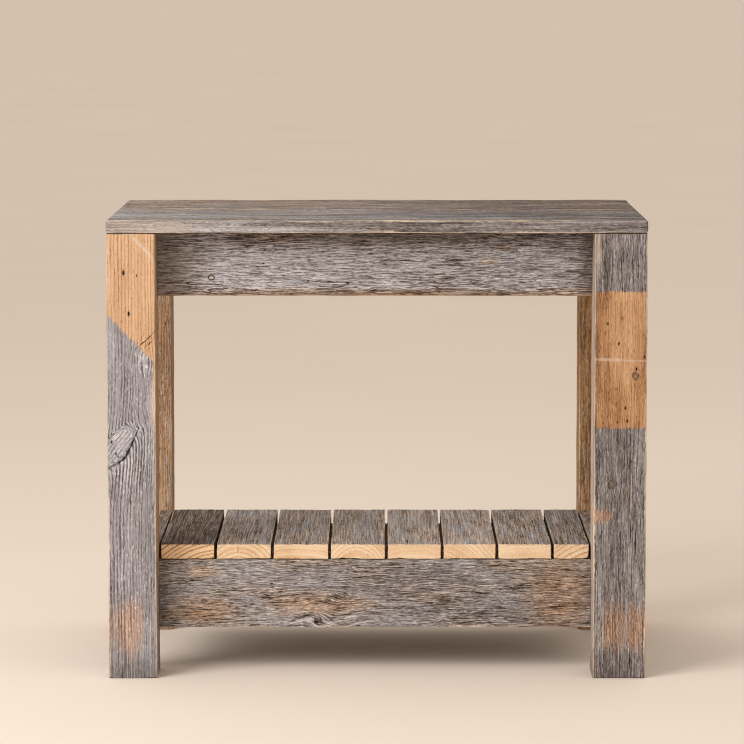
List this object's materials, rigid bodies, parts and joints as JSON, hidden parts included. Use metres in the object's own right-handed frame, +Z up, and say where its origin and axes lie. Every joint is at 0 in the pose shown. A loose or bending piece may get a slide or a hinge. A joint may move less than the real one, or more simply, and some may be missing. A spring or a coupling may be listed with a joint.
{
  "type": "open bathroom vanity stand",
  "caption": "Open vanity stand of reclaimed barn wood: a boarded top on square posts, mortised aprons and rails, and a low slatted shelf.",
  "frame": {"origin": "on the floor, under the centre of the stand's outer box", "axes": "+Z up, +X to the right as seen from the front, along the length; the front faces -Y and the wall is at +Y"},
  "size_m": [0.9144, 0.5334, 0.783],
  "materials": {
    "apron_boards": "rough-sawn grey-taupe barn board, small nail holes, matt",
    "post_front_left": "silver-grey weathered post with a honey-pine upper part, knots, cracks and nail holes, matt",
    "post_front_right": "blue-grey weathered post with an orange-brown band, knots and cracks, matt",
    "post_rear": "golden-brown aged pine with grey patches, matt",
    "dowel_wood": "smooth beech dowel, no finish",
    "rail_boards": "rough-sawn grey-taupe barn board with knots and orange-brown stains, matt",
    "hidden_pine": "plain new pine, sanded, no finish",
    "shelf_slats": "dark grey-brown weathered faces and fresh-cut cream pine end grain, matt",
    "screw_steel": "zinc-plated steel, satin",
    "top_boards": "weathered taupe-grey barn board, fine grain, light worn edges, dry and matt"
  },
  "bodies": {
    "root": {"apron_front": "apron_boards", "apron_left": "apron_boards", "apron_rear": "apron_boards", "apron_right": "apron_boards", "leg_front_left": "post_front_left", "leg_front_right": "post_front_right", "leg_rear_left": "post_rear", "leg_rear_right": "post_rear", "peg_apron_front_left": "dowel_wood", "peg_apron_front_right": "dowel_wood", "peg_apron_rear_left": "dowel_wood", "peg_apron_rear_right": "dowel_wood", "peg_rail_front_left": "dowel_wood", "peg_rail_front_right": "dowel_wood", "peg_rail_rear_left": "dowel_wood", "peg_rail_rear_right": "dowel_wood", "rail_front": "rail_boards", "rail_left": "rail_boards", "rail_rear": "rail_boards", "rail_right": "rail_boards", "shelf_batten_front": "hidden_pine", "shelf_batten_rear": "hidden_pine", "slat_1": "shelf_slats", "slat_2": "shelf_slats", "slat_3": "shelf_slats", "slat_4": "shelf_slats", "slat_5": "shelf_slats", "slat_6": "shelf_slats", "slat_7": "shelf_slats", "slat_8": "shelf_slats", "slat_screw_front_1": "screw_steel", "slat_screw_front_2": "screw_steel", "slat_screw_front_3": "screw_steel", "slat_screw_front_4": "screw_steel", "slat_screw_front_5": "screw_steel", "slat_screw_front_6": "screw_steel", "slat_screw_front_7": "screw_steel", "slat_screw_front_8": "screw_steel", "slat_screw_rear_1": "screw_steel", "slat_screw_rear_2": "screw_steel", "slat_screw_rear_3": "screw_steel", "slat_screw_rear_4": "screw_steel", "slat_screw_rear_5": "screw_steel", "slat_screw_rear_6": "screw_steel", "slat_screw_rear_7": "screw_steel", "slat_screw_rear_8": "screw_steel", "top_board_front": "top_boards", "top_board_middle": "top_boards", "top_board_rear": "top_boards", "top_cleat_left": "hidden_pine", "top_cleat_right": "hidden_pine", "top_dowel_front_left": "dowel_wood", "top_dowel_front_right": "dowel_wood", "top_dowel_rear_left": "dowel_wood", "top_dowel_rear_right": "dowel_wood", "top_screw_left_front": "screw_steel", "top_screw_left_middle": "screw_steel", "top_screw_right_front": "screw_steel", "top_screw_right_middle": "screw_steel"}
  },
  "joints": []
}
